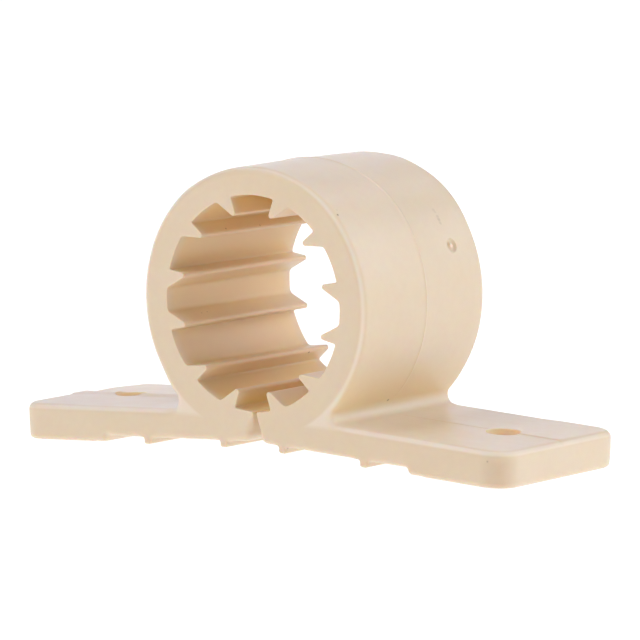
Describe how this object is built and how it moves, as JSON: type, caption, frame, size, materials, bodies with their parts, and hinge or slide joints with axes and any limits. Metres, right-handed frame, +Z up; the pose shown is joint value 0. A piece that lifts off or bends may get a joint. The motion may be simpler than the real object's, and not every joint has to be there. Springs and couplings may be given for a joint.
{
  "type": "two-hole pipe clamp",
  "caption": "Moulded plastic tube clamp: a split ring with gripping teeth holds the tube, and flat drilled feet at its sides fasten it to a surface.",
  "frame": {"origin": "on the plane that the feet's outer ends stand on, straight below the middle of the ring", "axes": "+Z up, +X along the feet, +Y along the tube that the ring holds"},
  "size_m": [0.0756, 0.0254, 0.0373],
  "materials": {
    "plastic": "satin cream, slightly waxy, with fine moulding marks"
  },
  "bodies": {
    "root": {"clamp": "plastic"}
  },
  "joints": []
}
